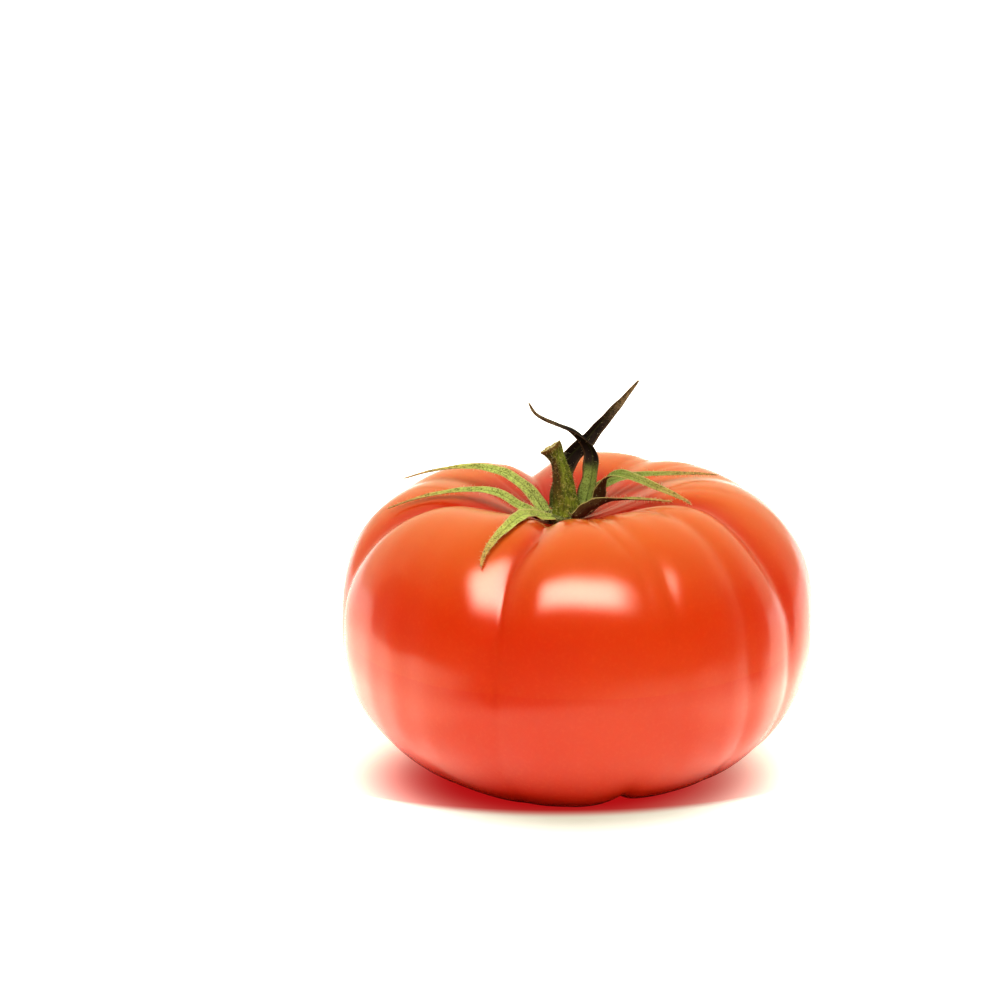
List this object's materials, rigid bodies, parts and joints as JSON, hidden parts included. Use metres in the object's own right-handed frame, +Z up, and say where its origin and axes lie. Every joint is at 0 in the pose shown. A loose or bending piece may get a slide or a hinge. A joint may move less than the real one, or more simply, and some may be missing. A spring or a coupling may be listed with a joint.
{
  "type": "beefsteak tomato",
  "caption": "Ribbed, flattened red tomato with a green calyx of thin sepals and a stub of cut stem, resting on a small flat spot.",
  "frame": {"origin": "centre of the flat spot at the blossom end that the tomato rests on", "axes": "+Z up, out of the stem end; -Y towards the viewer of the picture; +X to the viewer's right"},
  "size_m": [0.0899, 0.09, 0.0754],
  "materials": {
    "tomato_skin": "smooth waxy skin, soft gloss",
    "stem_green": "matte green stem with fine pale hairs",
    "sepal_green": "matte green leaf with fine pale hairs, browner below",
    "dried_sepal": "dry, black-brown, slightly rough"
  },
  "bodies": {
    "root": {"fruit": "tomato_skin", "calyx_base": "stem_green", "stem": "stem_green", "sepal_front_left": "sepal_green", "sepal_left": "sepal_green", "sepal_back_left": "sepal_green", "sepal_upright": "dried_sepal", "sepal_back_right": "sepal_green", "sepal_curled": "dried_sepal", "sepal_right": "sepal_green", "sepal_front_right": "sepal_green"}
  },
  "joints": []
}
